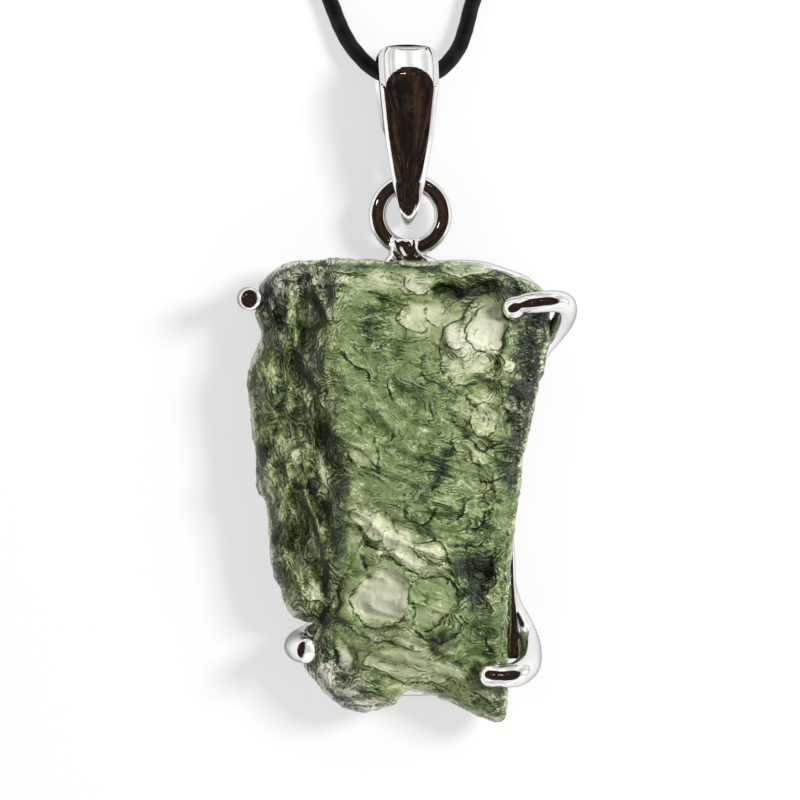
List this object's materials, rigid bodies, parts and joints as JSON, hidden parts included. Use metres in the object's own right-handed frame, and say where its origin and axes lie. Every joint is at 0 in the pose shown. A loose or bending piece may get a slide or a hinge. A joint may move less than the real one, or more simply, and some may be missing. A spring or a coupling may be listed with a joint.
{
  "type": "natural glass pendant",
  "caption": "Rough natural green glass stone held face up by wire claws on a back frame, swinging by a jump ring from a tapered folded bail on a knotted cord.",
  "frame": {"origin": "bottom centre of the pendant's bounding box, with the cord left out: on the surface that the back frame's flat foot rests on", "axes": "+Z out of the stone's face, +Y from the stone to the bail, +X to the right as the face is seen"},
  "size_m": [0.025, 0.0766, 0.0081],
  "materials": {
    "natural_glass": "translucent olive green, pitted and etched",
    "silver": "mirror polished sterling silver",
    "waxed_cord": "black waxed cotton"
  },
  "bodies": {
    "bail": {"bail": "silver", "cord_run": "waxed_cord", "cord_tail": "waxed_cord", "cord_coil": "waxed_cord", "cord_knot": "waxed_cord"},
    "pendant": {"stone": "natural_glass", "back_frame": "silver", "prong_top_left": "silver", "prong_top_right": "silver", "prong_bottom_left": "silver", "prong_bottom_right": "silver", "ring_seat": "silver", "jump_ring": "silver"}
  },
  "joints": [
    {"name": "ring_swing", "type": "hinge", "parent": "bail", "child": "pendant", "pos_m": [0.00028, 0.01484, 0.002], "axis": [1, 0, 0], "range_deg": [-130, 130]}
  ]
}
